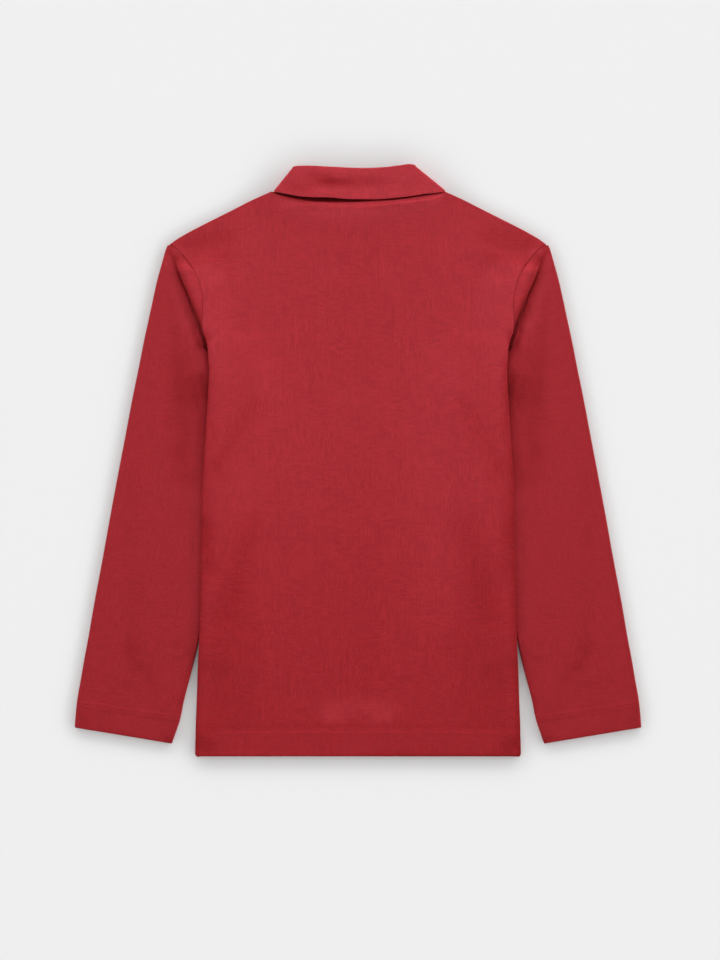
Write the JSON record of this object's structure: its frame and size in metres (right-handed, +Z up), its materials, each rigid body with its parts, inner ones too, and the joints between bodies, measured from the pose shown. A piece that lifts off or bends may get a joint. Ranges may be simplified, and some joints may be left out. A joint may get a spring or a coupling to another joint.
{
  "type": "high neck top",
  "caption": "Child's long-sleeved knit top with a turned-down high neck, laid flat with its back up and its sleeves down beside the body.",
  "frame": {"origin": "on the floor, under the middle of the whole top as it lies", "axes": "+Y towards the neck, +X to the right as the back is seen from above, +Z up from the floor"},
  "size_m": [0.4804, 0.5024, 0.009],
  "materials": {
    "red_knit": "matt fine cotton knit, slightly heathered"
  },
  "bodies": {
    "root": {"back_panel": "red_knit", "front_panel": "red_knit", "sleeve_left": "red_knit", "sleeve_right": "red_knit", "collar": "red_knit"}
  },
  "joints": []
}
